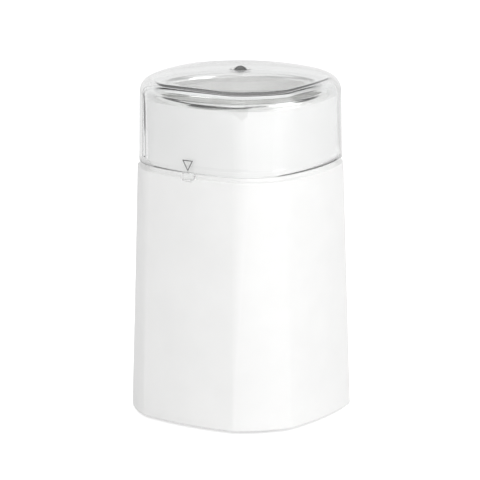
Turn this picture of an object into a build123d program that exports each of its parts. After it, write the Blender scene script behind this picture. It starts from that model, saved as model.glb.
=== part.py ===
from build123d import *

import os
from math import cos, pi, radians, sin, sqrt, tan

# Electric coffee grinder with a clear lid that is pressed down to start it.
# Millimetres, +Z up, front towards -Y, origin on the floor under the middle of the object.

# Housing
BASE_FACE_DISTANCE = 47.0  # axis to the middle of a bulged face at the bottom edge
FACE_TAPER = 3.4  # the faces lean in by this much up to the top edge
BASE_CORNER_REACH = 4.0  # the corner arcs lie this much further out than the faces
SEAM_CORNER_REACH = 4.0  # the same at the top edge
BASE_FACE_ARC = 125.0  # bulge of the four faces, seen from above, at the bottom edge
SEAM_FACE_ARC = 92.0  # and at the top edge and on the lid
BASE_CREASE_RADIUS = 3.5  # rounding of the creases between faces and corners
SEAM_CREASE_RADIUS = 18.0  # the creases fade towards the top edge
BODY_HEIGHT = 115.0
BODY_WALL = 2.4
FOOT_DROP = 1.5  # the feet stand this far below the housing
BOTTOM_EDGE_ROUND = 0.9
TOP_EDGE_ROUND = 0.5
COLLAR_HEIGHT = 32.0
COLLAR_WALL = 2.5  # at the middle of a face
COLLAR_GAP = 0.5  # to the lid
COLLAR_DRAFT = 0.4  # the collar's corners draw in by this much up to its top

# Clear lid
LID_GAP = 2.2  # open band between housing and lid, closed when the lid is pressed
PRESS_TRAVEL = 1.9
LID_SETBACK = 0.7  # the lid stands this far inside the housing's outline
LID_FACE_LEAN = 0.4  # top of the lid's faces outside the housing's top edge
LID_TOP_CORNER_REACH = 2.3
LID_TOP_CREASE_RADIUS = 24.0
LID_HEIGHT = 41.3  # lower edge to the top of the dome
LID_SHOULDER = 7.0
LID_WALL = 2.3
LID_ROOF = 2.6
DOME_RADIUS = 280.0
BEAD_RADIUS = 3.1  # small bead at the middle of the dome
BEAD_HEIGHT = 1.7

# Lid tongue, its notch and the push rod
TONGUE_WIDTH = 6.2
TONGUE_DROP = 3.2  # below the lid's lower edge
TONGUE_SETBACK = 2.2  # back of the tongue behind the housing's top edge
TONGUE_THICKNESS = 1.1
TONGUE_ROUND = 1.6
NOTCH_DEPTH = 1.5
NOTCH_ROUND = 1.2
SLIDE_CLEARANCE = 0.3
ROD_WIDTH = 5.6
ROD_STEM = 1.8  # thickness
ROD_HEAD = 2.2  # height of the step that carries the head
ROD_FLANGE = 1.4
PIN_RADIUS = 1.3
PIN_SETBACK = 3.3  # pin axis behind the outside of the stem
TOUCH = 0.15  # gap where a moving piece only just touches its neighbour

# Steel bowl
BOWL_CLEARANCE = 0.6  # to the collar
BOWL_DEPTH = 43.3  # rim seat to the inside floor
BOWL_CORNER = 20.0
BOWL_SHEET = 0.8
BOWL_RIM_RADIUS = 1.9
BOWL_LIP = 0.8  # straight end of the rolled rim
BOWL_HOLE = 6.8
GASKET_THICKNESS = 1.0
GASKET_RADIUS = 15.0
GASKET_BORE = 10.0
SEAL_FLANGE = 9.0
SEAL_FLANGE_THICKNESS = 1.2
SEAL_DEPTH = 2.0  # below the bowl

# Shaft and blade
SHAFT_RADIUS = 3.0
SHAFT_CLEARANCE = 1.0  # round the shaft where nothing guides it
RUNNING_CLEARANCE = 0.04
SEAT_CLEARANCE = 0.05
SPACER_RADIUS = 6.5
SPACER_HEIGHT = 3.6
SPACER_GAP = 0.5  # above the seal
BLADE_REACH = 26.0
BLADE_THICKNESS = 1.5
BLADE_ROOT_WIDTH = 13.0
BLADE_TIP_WIDTH = 8.0
BLADE_FLAT = 11.0  # flat middle part, from the axis
BLADE_LIFT = 16.0  # degrees that the arms are bent up
BLADE_EDGE = 0.6  # ground leading edges
NUT_WIDTH = 9.0
NUT_HEIGHT = 3.6
SHAFT_END = 1.0  # above the nut

# Motor carrier, hung from the housing's bosses
BOSS_SETBACK = 7.3  # boss axis inside the housing's corners
BOSS_RADIUS = 4.2
BOSS_RIB = 3.0
SCREW_RADIUS = 1.5
SCREW_HEAD_RADIUS = 2.8
SCREW_HEAD_HEIGHT = 1.8
SCREW_GRIP = 9.0  # length in the boss
CROSS_LENGTH = 1.3  # the screw's cross, as shares of the head radius
CROSS_WIDTH = 0.28
CARRIER_PLATE = 3.0
CARRIER_DISC = 26.0
CARRIER_ARM = 8.8  # width
CARRIER_SEAT = 12.4  # seat of the bowl above the plate
HUB_RADIUS = 10.0
HUB_RIB = 2.4
TONGUE_PLATE = 12.0  # width of the plate that guides the pin
BEARING_RADIUS = 6.0
BEARING_LENGTH = 9.0
WASHER_RADIUS = 5.0
WASHER_THICKNESS = 1.0

# Motor
STACK_HEIGHT = 20.0
STACK_CORNER = 8.0
YOKE = 5.0
YOKE_SIDE = 5.5  # yoke beside the bolts
POST_LENGTH = 10.0
POST_RADIUS = 4.2
BOLT_RADIUS = 1.6
BOLT_EDGE = 2.8  # bolt axis to the side of the stack
BOLT_GRIP = 8.0  # length in the carrier's post
ARMATURE_RADIUS = 13.8
AIR_GAP = 0.5
POLE_SHOE = 3.6
POLE_ANGLE = 55.0  # half angle of a pole shoe
POLE_NECK = 16.0
COIL_THICKNESS = 3.2
COIL_WIDTH = 6.4
COIL_CLEARANCE = 0.25
COIL_ROOM = 0.65  # coil to the yoke behind it
COIL_SIDE_ROOM = 2.85
SLOT_COUNT = 10
SLOT_RADIUS = 1.9
SLOT_MOUTH = 1.6
WINDING_OVERHANG = 7.0
WINDING_SETBACK = 1.4  # bundled turns inside the armature's outline
COMMUTATOR_RADIUS = 8.0
COMMUTATOR_HEIGHT = 13.0
COMMUTATOR_GAP = 2.0
RISER_STEP = 1.2  # risers beyond the commutator's bars
RISER_HEIGHT = 1.6
SEGMENT_COUNT = 20
SEGMENT_GROOVE = 0.5
BRACKET_PLATE = 4.0
BRACKET_GAP = 5.0  # plate to commutator
BRACKET_HUB = 9.0
BRACKET_ARM = 11.0  # width
BRUSH_SIDE = 6.0
BRUSH_LENGTH = 9.8
BRUSH_GAP = 0.2
BRUSH_BLANK = 1.0  # block beyond the commutator before its end is hollowed
HOLDER_WALL = 1.4
HOLDER_GAP = 0.6  # holder to the risers
HOLDER_LENGTH = 13.8
SPRING_WIRE = 0.3  # wire radius
SPRING_COIL = 2.1  # coil radius
BRUSH_SPRING_TURNS = 4
RETURN_SPRING_TURNS = 5
RETURN_SPRING_LENGTH = 6.0

# Start switch
SWITCH_LENGTH = 19.8
SWITCH_THICKNESS = 6.4
SWITCH_HEIGHT = 10.2
SWITCH_ROUND = 0.6
SWITCH_CLEARANCE = 1.4  # to the front wall
SWITCH_PEG_SPACING = 9.5
SWITCH_PEG = 1.1
SWITCH_PEG_DROP = 7.2  # pegs below the top of the case
LEVER_REACH = 13.0  # lever pivot to the pin
LEVER_TAIL = 1.5  # lever beyond the pin
LEVER_WIDTH = 3.6
LEVER_SHEET = 0.4
LEVER_OFFSET = 0.2  # lever underside above its pivot axis
LEVER_AXLE = 0.5
LEVER_REST = 4.2  # degrees above level
PIVOT_ABOVE_CASE = 1.2
PIVOT_FROM_END = 1.9
EAR = 1.0  # thickness of the two ears
EAR_RADIUS = 1.3
BUTTON_PLACE = 4.8  # from the pivot
BUTTON_RADIUS = 1.1
BUTTON_ROUND = 0.5
BUTTON_ENGAGED = 2.6  # part of the button inside the case
BUTTON_WELL = 4.1
WEB_THICKNESS = 2.0  # web behind the switch
SWITCH_DROP = 9.0  # lever pivot below the carrier
TERMINAL_WIDTH = 3.2
TERMINAL_SHEET = 0.5
TERMINAL_LENGTH = 6.0
TERMINAL_SPACING = 7.1
TERMINAL_HOLE = 0.65
TERMINAL_HOLE_DROP = 4.2

# Base
PLATE_THICKNESS = 2.5
PLATE_RECESS = 0.4
PLATE_CLEARANCE = 0.3
BASE_SCREW_SETBACK = 7.4  # screw circle inside the middle of the faces
BASE_SCREW_ANGLE = 20.0
BASE_BOSS_HEIGHT = 20.0
FOOT_RADIUS = 6.0
FOOT_SETBACK = 12.0  # foot centres inside the corners
FOOT_POCKET = 1.0
VENT_COUNT = 16
VENT_INNER = 13.0
VENT_OUTER = 27.0
VENT_WIDTH = 2.6
GLAND_HEIGHT = 15.0
GLAND_RADIUS = 5.0
GLAND_BORE = 3.3
GLAND_FLANGE = 7.0
GLAND_FLANGE_THICKNESS = 1.8

# Heights
BODY_BOTTOM = FOOT_DROP
BODY_TOP = BODY_BOTTOM + BODY_HEIGHT
LEDGE_UNDER = BODY_TOP - BODY_WALL
COLLAR_TOP = BODY_TOP + COLLAR_HEIGHT
LID_BOTTOM = BODY_TOP + LID_GAP
LID_TOP = LID_BOTTOM + LID_HEIGHT
TONGUE_BOTTOM = LID_BOTTOM - TONGUE_DROP
BOWL_FLOOR = COLLAR_TOP - BOWL_DEPTH
BOWL_UNDER = BOWL_FLOOR - BOWL_SHEET
SEAT_TOP = BOWL_UNDER - GASKET_THICKNESS
CARRIER_TOP = SEAT_TOP - CARRIER_SEAT
CARRIER_UNDER = CARRIER_TOP - CARRIER_PLATE
STACK_TOP = CARRIER_UNDER - POST_LENGTH
STACK_UNDER = STACK_TOP - STACK_HEIGHT
COMMUTATOR_TOP = STACK_UNDER - WINDING_OVERHANG - COMMUTATOR_GAP
COMMUTATOR_UNDER = COMMUTATOR_TOP - COMMUTATOR_HEIGHT
BRACKET_TOP = COMMUTATOR_UNDER - BRACKET_GAP
BRACKET_UNDER = BRACKET_TOP - BRACKET_PLATE
LOWER_HUB_UNDER = BRACKET_UNDER - BRACKET_PLATE
SPACER_UNDER = BOWL_FLOOR + SEAL_FLANGE_THICKNESS + SPACER_GAP
BLADE_UNDER = SPACER_UNDER + SPACER_HEIGHT
NUT_UNDER = BLADE_UNDER + BLADE_THICKNESS
SHAFT_TOP = NUT_UNDER + NUT_HEIGHT + SHAFT_END
PLATE_UNDER = BODY_BOTTOM + PLATE_RECESS
PLATE_TOP = PLATE_UNDER + PLATE_THICKNESS
BRUSH_LEVEL = COMMUTATOR_UNDER + (COMMUTATOR_HEIGHT - RISER_HEIGHT) / 2

# Places that follow from the sizes above
SEAM_FACE_DISTANCE = BASE_FACE_DISTANCE - FACE_TAPER
BASE_CORNER_RADIUS = BASE_FACE_DISTANCE + BASE_CORNER_REACH
SEAM_CORNER_RADIUS = SEAM_FACE_DISTANCE + SEAM_CORNER_REACH
LID_TOP_FACE_DISTANCE = SEAM_FACE_DISTANCE + LID_FACE_LEAN
LID_TOP_CORNER_RADIUS = LID_TOP_FACE_DISTANCE + LID_TOP_CORNER_REACH
COLLAR_INSET = LID_SETBACK + LID_WALL + COLLAR_GAP
COLLAR_FACE = SEAM_FACE_DISTANCE - COLLAR_INSET
COLLAR_BORE = COLLAR_FACE - COLLAR_WALL
BOWL_RADIUS = COLLAR_BORE - BOWL_CLEARANCE - BOWL_SHEET
BOSS_CIRCLE = SEAM_CORNER_RADIUS - BOSS_SETBACK
BASE_SCREW_CIRCLE = BASE_FACE_DISTANCE - BASE_SCREW_SETBACK
FOOT_CIRCLE = BASE_CORNER_RADIUS - FOOT_SETBACK
STACK_BORE = ARMATURE_RADIUS + AIR_GAP
STACK_WIDTH = 2 * (STACK_BORE + POLE_SHOE + COIL_CLEARANCE + COIL_THICKNESS + COIL_ROOM + YOKE)
STACK_DEPTH = POLE_NECK + 2 * (COIL_CLEARANCE + COIL_WIDTH + COIL_SIDE_ROOM + YOKE_SIDE)
BOLT_PLACE = STACK_DEPTH / 2 - BOLT_EDGE
WINDING_RADIUS = ARMATURE_RADIUS - WINDING_SETBACK
RISER_RADIUS = COMMUTATOR_RADIUS + RISER_STEP
HOLDER_START = RISER_RADIUS + HOLDER_GAP
HOLDER_END = HOLDER_START + HOLDER_LENGTH
BRUSH_BLANK_START = COMMUTATOR_RADIUS - BRUSH_BLANK
BRUSH_START = COMMUTATOR_RADIUS + BRUSH_GAP
BRUSH_END = BRUSH_START + BRUSH_LENGTH
LEVER_TURN = radians(LEVER_REST)
LEVER_TOP = LEVER_OFFSET + LEVER_SHEET
PIN_END_CENTRE = (LEVER_TOP + PIN_RADIUS + TOUCH + LEVER_REACH * sin(LEVER_TURN)) / cos(LEVER_TURN)
PIVOT_HEIGHT = CARRIER_UNDER - SWITCH_DROP
PIVOT_X = -LEVER_REACH
CASE_TOP = PIVOT_HEIGHT - PIVOT_ABOVE_CASE
CASE_LEFT = PIVOT_X - PIVOT_FROM_END
WALL_AT_SWITCH = BASE_FACE_DISTANCE - FACE_TAPER * (CASE_TOP - BODY_BOTTOM) / BODY_HEIGHT - BODY_WALL
SWITCH_PLACE = WALL_AT_SWITCH - SWITCH_CLEARANCE - SWITCH_THICKNESS / 2
WEB_FRONT = SWITCH_PLACE - SWITCH_THICKNESS / 2
FLANGE_UNDER = CARRIER_TOP + RETURN_SPRING_LENGTH
PIN_END = PIVOT_HEIGHT + PIN_END_CENTRE
ROD_TOP = TONGUE_BOTTOM - TOUCH
TONGUE_INNER = SEAM_FACE_DISTANCE - TONGUE_SETBACK
ROD_OUTER = TONGUE_INNER + TONGUE_THICKNESS
ROD_STEP_TOP = LEDGE_UNDER - SLIDE_CLEARANCE
ROD_STEM_OUTER = SEAM_FACE_DISTANCE - BODY_WALL - SLIDE_CLEARANCE
PIN_PLACE = ROD_STEM_OUTER - PIN_SETBACK
POCKET_INNER = COLLAR_FACE + SLIDE_CLEARANCE
POCKET_OUTER = ROD_OUTER + SLIDE_CLEARANCE
POCKET_BOTTOM = ROD_STEP_TOP - ROD_HEAD - PRESS_TRAVEL - SLIDE_CLEARANCE
POCKET_WIDTH = TONGUE_WIDTH + 2 * SLIDE_CLEARANCE


def plan_at(height):
    """Face distance, corner radius, crease radius and face arc of the housing's plan at a height."""
    share = (height - BODY_BOTTOM) / BODY_HEIGHT
    face = BASE_FACE_DISTANCE + share * (SEAM_FACE_DISTANCE - BASE_FACE_DISTANCE)
    corner = BASE_CORNER_RADIUS + share * (SEAM_CORNER_RADIUS - BASE_CORNER_RADIUS)
    crease = BASE_CREASE_RADIUS + share * (SEAM_CREASE_RADIUS - BASE_CREASE_RADIUS)
    arc = BASE_FACE_ARC + share * (SEAM_FACE_ARC - BASE_FACE_ARC)
    return face, corner, crease, arc


def soft_square(face, corner, crease, arc, inset=0.0):
    """Draw a round plan with four bulged faces; inset moves the whole outline inwards."""
    Circle(corner - inset)
    for quarter in range(4):
        with Locations(Vector(face - arc, 0).rotate(Axis.Z, 90 * quarter)):
            Circle(arc - inset, mode=Mode.INTERSECT)
    fillet(vertices(), crease - inset)


def face_radius(angle, height):
    """Distance from the axis to the housing's bulged face in a direction near the face's middle."""
    face, _, _, arc = plan_at(height)
    along = (arc - face) * cos(radians(angle))
    return sqrt(along**2 + arc**2 - (arc - face) ** 2) - along


def dome_height(radius):
    """Height of the lid's dome at a distance from the axis."""
    return LID_TOP - DOME_RADIUS + sqrt(DOME_RADIUS**2 - radius**2)


def screw(length, head_radius=SCREW_HEAD_RADIUS):
    """Cross-headed screw pointing up, with the underside of its head at the current place."""
    Cylinder(SCREW_RADIUS, length, align=(Align.CENTER, Align.CENTER, Align.MIN))
    Cylinder(head_radius, SCREW_HEAD_HEIGHT, align=(Align.CENTER, Align.CENTER, Align.MAX))
    with Locations((0, 0, -SCREW_HEAD_HEIGHT)):
        for turn in (0, 90):
            Box(
                head_radius * CROSS_LENGTH,
                head_radius * CROSS_WIDTH,
                SCREW_HEAD_HEIGHT,
                rotation=(0, 0, turn),
                mode=Mode.SUBTRACT,
            )


def ring(outer, inner, low, high):
    """Plain round ring about the Z axis."""
    with BuildSketch(Plane.XY.offset(low)) as section:
        Circle(outer)
        Circle(inner, mode=Mode.SUBTRACT)
    extrude(section.sketch, amount=high - low)


def coil(start, direction, length, turns):
    """Open coil spring of round wire that begins at a place and runs along a direction."""
    pitch = (length - 2 * SPRING_WIRE) / turns
    first = Vector(start) + Vector(direction) * SPRING_WIRE
    with BuildLine() as turns_line:
        Helix(pitch, pitch * turns, SPRING_COIL, center=first, direction=direction)
    with BuildSketch(Plane(origin=turns_line.line @ 0, z_dir=turns_line.line % 0)) as wire:
        RegularPolygon(SPRING_WIRE, 6)
    sweep(wire.sketch, path=turns_line.line, is_frenet=True)


# Housing with its collar
with BuildPart() as body_shell:
    for level in (BODY_BOTTOM, BODY_TOP):
        with BuildSketch(Plane.XY.offset(level)):
            soft_square(*plan_at(level))
    loft(ruled=True)
    fillet(body_shell.faces().sort_by(Axis.Z)[0].edges(), BOTTOM_EDGE_ROUND)
    fillet(body_shell.faces().sort_by(Axis.Z)[-1].edges(), TOP_EDGE_ROUND)
    seam_face, seam_corner, seam_crease, seam_arc = plan_at(BODY_TOP)
    for level, draft in ((BODY_TOP, 0), (COLLAR_TOP, COLLAR_DRAFT)):
        with BuildSketch(Plane.XY.offset(level)):
            soft_square(seam_face, seam_corner - draft, seam_crease, seam_arc, inset=COLLAR_INSET)
    loft(ruled=True)
    for level in (BODY_BOTTOM, LEDGE_UNDER):
        with BuildSketch(Plane.XY.offset(level)):
            soft_square(*plan_at(level), inset=BODY_WALL)
    loft(ruled=True, mode=Mode.SUBTRACT)
    with Locations((0, 0, COLLAR_TOP)):
        Hole(COLLAR_BORE, depth=COLLAR_HEIGHT + 2 * BODY_WALL)
    # Four bosses in the corners carry the motor, four lower ones hold the base plate
    with BuildSketch(Plane.XY.offset(CARRIER_TOP)):
        with PolarLocations(BOSS_CIRCLE, 4, start_angle=45):
            Circle(BOSS_RADIUS)
            rib_reach = plan_at(LEDGE_UNDER)[1] - BODY_WALL / 2 - BOSS_CIRCLE
            Rectangle(rib_reach, BOSS_RIB, align=(Align.MIN, Align.CENTER))
    extrude(amount=LEDGE_UNDER - CARRIER_TOP)
    with Locations(Plane.XY.offset(CARRIER_TOP)):
        with PolarLocations(BOSS_CIRCLE, 4, start_angle=45):
            Cylinder(
                SCREW_RADIUS + SEAT_CLEARANCE,
                SCREW_GRIP + SLIDE_CLEARANCE,
                align=(Align.CENTER, Align.CENTER, Align.MIN),
                mode=Mode.SUBTRACT,
            )
    with BuildSketch(Plane.XY.offset(PLATE_TOP)):
        for middle in (0, 180):
            for side in (-BASE_SCREW_ANGLE, BASE_SCREW_ANGLE):
                with PolarLocations(BASE_SCREW_CIRCLE, 1, start_angle=middle + side):
                    Circle(BOSS_RADIUS)
                    wall_reach = face_radius(BASE_SCREW_ANGLE, PLATE_TOP + BASE_BOSS_HEIGHT)
                    rib_reach = wall_reach - BODY_WALL / 2 - BASE_SCREW_CIRCLE
                    Rectangle(rib_reach, BOSS_RIB, align=(Align.MIN, Align.CENTER))
    extrude(amount=BASE_BOSS_HEIGHT)
    for middle in (0, 180):
        for side in (-BASE_SCREW_ANGLE, BASE_SCREW_ANGLE):
            with Locations(Plane.XY.offset(PLATE_TOP)):
                with PolarLocations(BASE_SCREW_CIRCLE, 1, start_angle=middle + side):
                    Cylinder(
                        SCREW_RADIUS + SEAT_CLEARANCE,
                        SCREW_GRIP + SLIDE_CLEARANCE,
                        align=(Align.CENTER, Align.CENTER, Align.MIN),
                        mode=Mode.SUBTRACT,
                    )
    # Notch in the top edge for the lid's tongue, and the guide groove of the push rod behind it
    with BuildSketch(Plane.XZ.offset(POCKET_INNER)) as notch:
        with Locations((0, BODY_TOP)):
            Rectangle(POCKET_WIDTH, 2 * NOTCH_DEPTH)
        fillet(notch.vertices().group_by(Axis.Y)[0], NOTCH_ROUND)
    extrude(amount=BASE_CORNER_RADIUS, mode=Mode.SUBTRACT)
    with BuildSketch(Plane.XZ.offset(POCKET_INNER)):
        with Locations((0, POCKET_BOTTOM)):
            Rectangle(POCKET_WIDTH, BODY_TOP - POCKET_BOTTOM, align=(Align.CENTER, Align.MIN))
    extrude(amount=POCKET_OUTER - POCKET_INNER, mode=Mode.SUBTRACT)
    # Cord inlet at the back
    with BuildSketch(Plane.XZ.offset(-BASE_CORNER_RADIUS)):
        with Locations((0, GLAND_HEIGHT)):
            Circle(GLAND_RADIUS + SEAT_CLEARANCE)
    extrude(amount=BASE_CORNER_RADIUS / 2, mode=Mode.SUBTRACT)
body_shell.part.label = "body_shell"


def domed_block(inset, depth, shoulder):
    """Outside of the lid as a solid block, or its hollow: drawn in by an inset, lowered by a depth."""
    with BuildPart() as block:
        with BuildSketch(Plane.XY.offset(LID_BOTTOM)):
            soft_square(*plan_at(BODY_TOP), inset=LID_SETBACK + inset)
        with BuildSketch(Plane.XY.offset(LID_TOP)):
            soft_square(
                LID_TOP_FACE_DISTANCE, LID_TOP_CORNER_RADIUS, LID_TOP_CREASE_RADIUS, SEAM_FACE_ARC, inset=inset
            )
        loft(ruled=True)
        with Locations((0, 0, LID_TOP - DOME_RADIUS)):
            Sphere(DOME_RADIUS - depth, rotation=(90, 0, 0), mode=Mode.INTERSECT)
        fillet(block.faces().sort_by(Axis.Z)[-1].edges(), shoulder)
    return block


# Clear lid: an even wall that follows the housing's plan, with a rounded shoulder and a dome
lid_outside = domed_block(0, 0, LID_SHOULDER)
lid_hollow = domed_block(LID_WALL, LID_ROOF, LID_SHOULDER - LID_WALL)
with BuildPart() as lid:
    add(lid_outside.part)
    fillet(lid.faces().sort_by(Axis.Z)[0].edges(), TOP_EDGE_ROUND)
    add(lid_hollow.part, mode=Mode.SUBTRACT)
    # Bead at the middle of the dome
    bead_sphere = (BEAD_RADIUS**2 + BEAD_HEIGHT**2) / (2 * BEAD_HEIGHT)
    with BuildSketch(Plane.XZ):
        with BuildLine():
            base = dome_height(BEAD_RADIUS)
            outline = ThreePointArc(
                (BEAD_RADIUS, base),
                (bead_sphere * sin(pi / 8), base + BEAD_HEIGHT - bead_sphere * (1 - cos(pi / 8))),
                (0, base + BEAD_HEIGHT),
            )
            Polyline(outline @ 1, (0, base - LID_ROOF / 2), (BEAD_RADIUS, base - LID_ROOF / 2), outline @ 0)
        make_face()
    revolve(axis=Axis.Z)
    # Tongue at the front of the lower edge
    with BuildSketch(Plane.XZ.offset(TONGUE_INNER)) as tongue:
        with Locations((0, TONGUE_BOTTOM)):
            Rectangle(TONGUE_WIDTH, TONGUE_DROP + BODY_WALL, align=(Align.CENTER, Align.MIN))
        fillet(tongue.vertices().group_by(Axis.Y)[0], TONGUE_ROUND)
    extrude(amount=TONGUE_THICKNESS)
lid.part.label = "lid"

# Push rod: head under the tongue, flat stem along the wall, round pin down to the switch lever
with BuildPart() as push_rod:
    with BuildSketch(Plane.YZ.offset(-ROD_WIDTH / 2)):
        with BuildLine():
            Polyline(
                (-ROD_OUTER, ROD_TOP),
                (-TONGUE_INNER, ROD_TOP),
                (-TONGUE_INNER, ROD_STEP_TOP),
                (-ROD_STEM_OUTER + ROD_STEM, ROD_STEP_TOP),
                (-ROD_STEM_OUTER + ROD_STEM, FLANGE_UNDER + ROD_FLANGE),
                (-PIN_PLACE + SPRING_COIL + 2 * SPRING_WIRE, FLANGE_UNDER + ROD_FLANGE),
                (-PIN_PLACE + SPRING_COIL + 2 * SPRING_WIRE, FLANGE_UNDER),
                (-ROD_STEM_OUTER, FLANGE_UNDER),
                (-ROD_STEM_OUTER, ROD_STEP_TOP - ROD_HEAD),
                (-ROD_OUTER, ROD_STEP_TOP - ROD_HEAD),
                close=True,
            )
        make_face()
    extrude(amount=ROD_WIDTH)
    with BuildSketch(Plane.XY.offset(PIN_END)):
        with Locations((0, -PIN_PLACE)):
            Circle(PIN_RADIUS)
    extrude(amount=FLANGE_UNDER - PIN_END)
    with Locations((0, -PIN_PLACE, PIN_END)):
        Sphere(PIN_RADIUS)
push_rod.part.label = "push_rod"

# Return spring between the rod's flange and the carrier
with BuildPart() as return_spring:
    coil((0, -PIN_PLACE, CARRIER_TOP), (0, 0, 1), RETURN_SPRING_LENGTH, RETURN_SPRING_TURNS)
return_spring.part.label = "return_spring"

# Microswitch case with two ears for the lever's axle
with BuildPart() as microswitch:
    with BuildSketch(Plane.XZ.offset(WEB_FRONT)) as case:
        with Locations((CASE_LEFT, CASE_TOP)):
            Rectangle(SWITCH_LENGTH, SWITCH_HEIGHT, align=(Align.MIN, Align.MAX))
        fillet(case.vertices(), SWITCH_ROUND)
        peg_middle = CASE_LEFT + SWITCH_LENGTH / 2
        with Locations((peg_middle, CASE_TOP - SWITCH_PEG_DROP)):
            with GridLocations(SWITCH_PEG_SPACING, 1, 2, 1):
                Circle(SWITCH_PEG + SEAT_CLEARANCE, mode=Mode.SUBTRACT)
    extrude(amount=SWITCH_THICKNESS)
    ear_places = (WEB_FRONT, WEB_FRONT + SWITCH_THICKNESS - EAR)
    for place in ear_places:
        with BuildSketch(Plane.XZ.offset(place)):
            with Locations((PIVOT_X, PIVOT_HEIGHT)):
                Circle(EAR_RADIUS)
                Rectangle(
                    2 * EAR_RADIUS,
                    PIVOT_ABOVE_CASE + EAR,
                    align=(Align.CENTER, Align.MAX),
                )
                Circle(LEVER_AXLE + RUNNING_CLEARANCE, mode=Mode.SUBTRACT)
        extrude(amount=EAR)
    with Locations((PIVOT_X + BUTTON_PLACE, -SWITCH_PLACE, CASE_TOP)):
        Hole(BUTTON_RADIUS + SEAT_CLEARANCE, depth=BUTTON_WELL)
microswitch.part.label = "microswitch"

with BuildPart() as switch_terminals:
    with Locations((CASE_LEFT + SWITCH_LENGTH / 2, -SWITCH_PLACE, CASE_TOP - SWITCH_HEIGHT)):
        with GridLocations(TERMINAL_SPACING, 1, 3, 1):
            Box(
                TERMINAL_SHEET,
                TERMINAL_WIDTH,
                TERMINAL_LENGTH,
                align=(Align.CENTER, Align.CENTER, Align.MAX),
            )
    with BuildSketch(Plane.YZ.offset(CASE_LEFT)):
        with Locations((-SWITCH_PLACE, CASE_TOP - SWITCH_HEIGHT - TERMINAL_HOLE_DROP)):
            Circle(TERMINAL_HOLE)
    extrude(amount=SWITCH_LENGTH, mode=Mode.SUBTRACT)
switch_terminals.part.label = "switch_terminals"

# Lever, drawn along its own slope, with an axle that turns in the ears
lever_plane = Plane(
    origin=(PIVOT_X, -SWITCH_PLACE - LEVER_WIDTH / 2, PIVOT_HEIGHT),
    x_dir=(cos(LEVER_TURN), 0, sin(LEVER_TURN)),
    z_dir=(0, -1, 0),
)
with BuildPart() as switch_lever:
    with BuildSketch(lever_plane):
        with Locations((0, LEVER_OFFSET)):
            Rectangle(LEVER_REACH + LEVER_TAIL, LEVER_SHEET, align=(Align.MIN, Align.MIN))
        Circle(LEVER_TOP)
    extrude(amount=-LEVER_WIDTH)
    with BuildSketch(Plane.XZ.offset(SWITCH_PLACE - SWITCH_THICKNESS / 2 + EAR / 4)):
        with Locations((PIVOT_X, PIVOT_HEIGHT)):
            Circle(LEVER_AXLE)
    extrude(amount=SWITCH_THICKNESS - EAR / 2)
switch_lever.part.label = "switch_lever"

button_top = PIVOT_HEIGHT + BUTTON_PLACE * sin(LEVER_TURN) + LEVER_OFFSET * cos(LEVER_TURN) - TOUCH
with BuildPart() as switch_button:
    with Locations((PIVOT_X + BUTTON_PLACE, -SWITCH_PLACE, button_top)):
        Cylinder(
            BUTTON_RADIUS,
            button_top - CASE_TOP + BUTTON_ENGAGED,
            align=(Align.CENTER, Align.CENTER, Align.MAX),
        )
    fillet(switch_button.edges().group_by(Axis.Z)[-1], BUTTON_ROUND)
switch_button.part.label = "switch_button"

# Steel bowl, one sheet from the hole in its floor to the end of the rolled rim
with BuildPart() as grinding_bowl:
    with BuildSketch(Plane.XZ):
        with BuildLine() as sheet:
            rim_level = COLLAR_TOP + BOWL_LIP
            floor_line = Line((BOWL_HOLE, BOWL_FLOOR), (BOWL_RADIUS - BOWL_CORNER, BOWL_FLOOR))
            corner_arc = TangentArc(
                floor_line @ 1, (BOWL_RADIUS, BOWL_FLOOR + BOWL_CORNER), tangent=floor_line % 1
            )
            wall_line = Line(corner_arc @ 1, (BOWL_RADIUS, rim_level))
            rim_arc = TangentArc(
                wall_line @ 1, (BOWL_RADIUS + 2 * BOWL_RIM_RADIUS, rim_level), tangent=wall_line % 1
            )
            Line(rim_arc @ 1, (BOWL_RADIUS + 2 * BOWL_RIM_RADIUS, COLLAR_TOP))
            offset(amount=BOWL_SHEET, side=Side.RIGHT)
        make_face()
    revolve(axis=Axis.Z)
grinding_bowl.part.label = "grinding_bowl"

with BuildPart() as bowl_gasket:
    ring(GASKET_RADIUS, GASKET_BORE, SEAT_TOP, BOWL_UNDER)
bowl_gasket.part.label = "bowl_gasket"

with BuildPart() as shaft_seal:
    seal_bore = SHAFT_RADIUS + TOUCH
    ring(SEAL_FLANGE, seal_bore, BOWL_FLOOR, BOWL_FLOOR + SEAL_FLANGE_THICKNESS)
    ring(BOWL_HOLE - SEAT_CLEARANCE, seal_bore, BOWL_UNDER - SEAL_DEPTH, BOWL_FLOOR)
    fillet(shaft_seal.edges().group_by(Axis.Z)[-1].sort_by(SortBy.RADIUS)[-1], SEAL_FLANGE_THICKNESS / 2)
shaft_seal.part.label = "shaft_seal"

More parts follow.
